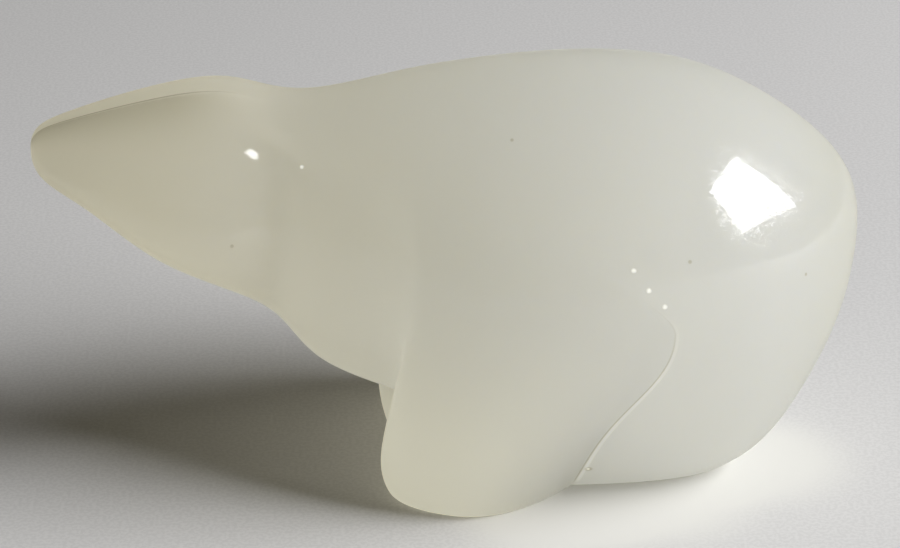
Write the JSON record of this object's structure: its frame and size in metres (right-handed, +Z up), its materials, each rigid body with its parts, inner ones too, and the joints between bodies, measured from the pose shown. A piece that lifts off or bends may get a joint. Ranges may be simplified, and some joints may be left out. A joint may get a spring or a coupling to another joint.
{
  "type": "polar bear figurine",
  "caption": "Solid glass polar bear figurine, standing with its head stretched forward and low, made as one smooth piece of milky opal glass on a flat underside.",
  "frame": {"origin": "on the ground, under the middle of the bear's length and width", "axes": "+X from the nose to the rump, +Y to the bear's right side, +Z up"},
  "size_m": [0.16, 0.075, 0.0839],
  "materials": {
    "opal_glass": "gloss"
  },
  "bodies": {
    "root": {"polar_bear": "opal_glass"}
  },
  "joints": []
}
